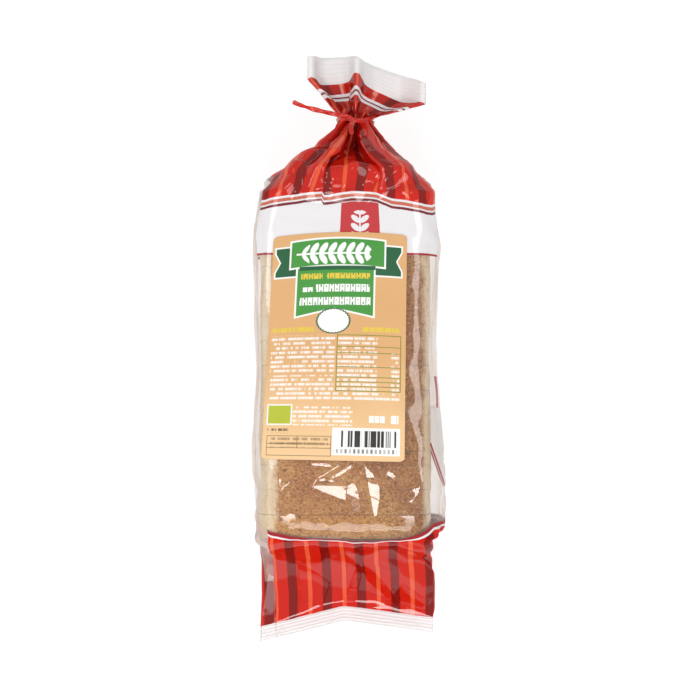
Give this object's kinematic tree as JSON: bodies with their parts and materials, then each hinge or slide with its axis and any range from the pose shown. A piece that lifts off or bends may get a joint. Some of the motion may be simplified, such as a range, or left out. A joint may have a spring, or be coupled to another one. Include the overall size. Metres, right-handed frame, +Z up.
{
  "type": "loaf in bread bag",
  "caption": "Sliced tin loaf in a printed side-gusseted film bag, lying on its back panel: flat crimped foot seal, gathered neck with a twist tie, flared head, sticker label.",
  "frame": {"origin": "centre of the loaf's underside, on the surface that the bag lies on", "axes": "+X to the right of the labelled panel, +Y from the foot seal to the tied head, +Z up out of the labelled panel"},
  "size_m": [0.11, 0.3351, 0.0887],
  "materials": {
    "bag_film": "thin glossy film, printed in red stripes at the head and foot, clear over the loaf",
    "label_paper": "satin sticker, printed in flat colours",
    "tie_plastic": "crinkled glossy strip"
  },
  "bodies": {
    "root": {"bag": "bag_film", "label": "label_paper", "tie": "tie_plastic"}
  },
  "joints": []
}
